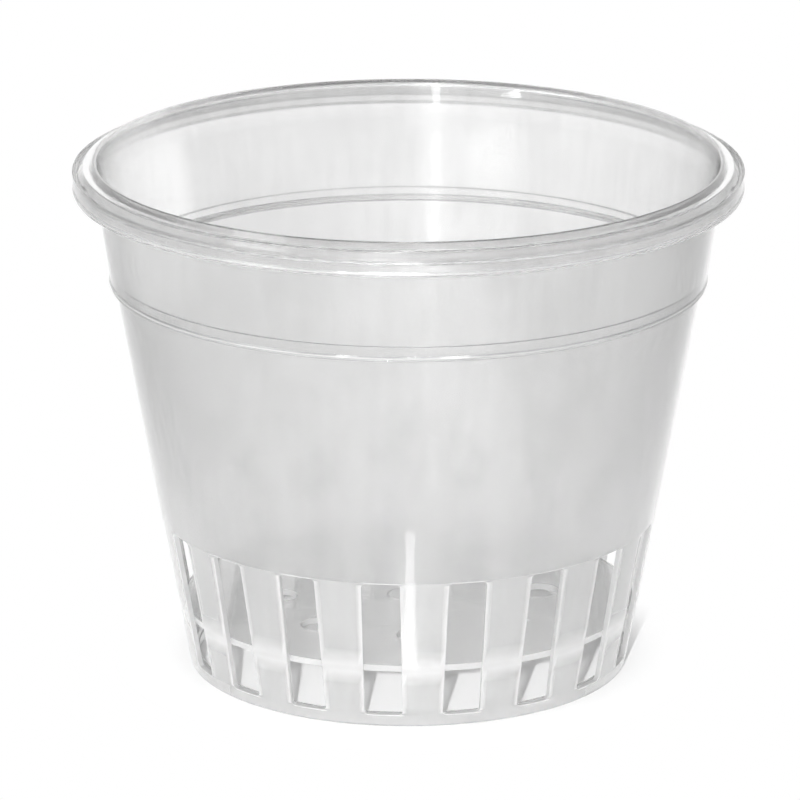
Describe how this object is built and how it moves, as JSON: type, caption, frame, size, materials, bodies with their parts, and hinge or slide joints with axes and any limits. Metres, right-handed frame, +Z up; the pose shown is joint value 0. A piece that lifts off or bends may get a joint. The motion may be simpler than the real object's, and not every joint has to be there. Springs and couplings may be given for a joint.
{
  "type": "slotted orchid pot",
  "caption": "Round tapered clear plastic orchid pot with a turned-down lip, a stacking shoulder, upright slots round the foot and a raised drained floor.",
  "frame": {"origin": "middle of the foot ring's underside, on the ground", "axes": "+Z up along the pot's axis, +X through the middle of a slot"},
  "size_m": [0.1516, 0.1516, 0.1185],
  "materials": {
    "clear_plastic": "clear moulded polypropylene, glossy, with a slight milky haze"
  },
  "bodies": {
    "root": {"rim_lip": "clear_plastic", "collar_band": "clear_plastic", "stacking_shoulder": "clear_plastic", "main_wall": "clear_plastic", "stave_01": "clear_plastic", "stave_02": "clear_plastic", "stave_03": "clear_plastic", "stave_04": "clear_plastic", "stave_05": "clear_plastic", "stave_06": "clear_plastic", "stave_07": "clear_plastic", "stave_08": "clear_plastic", "stave_09": "clear_plastic", "stave_10": "clear_plastic", "stave_11": "clear_plastic", "stave_12": "clear_plastic", "stave_13": "clear_plastic", "stave_14": "clear_plastic", "stave_15": "clear_plastic", "stave_16": "clear_plastic", "stave_17": "clear_plastic", "stave_18": "clear_plastic", "raised_floor": "clear_plastic", "foot_ring": "clear_plastic"}
  },
  "joints": []
}
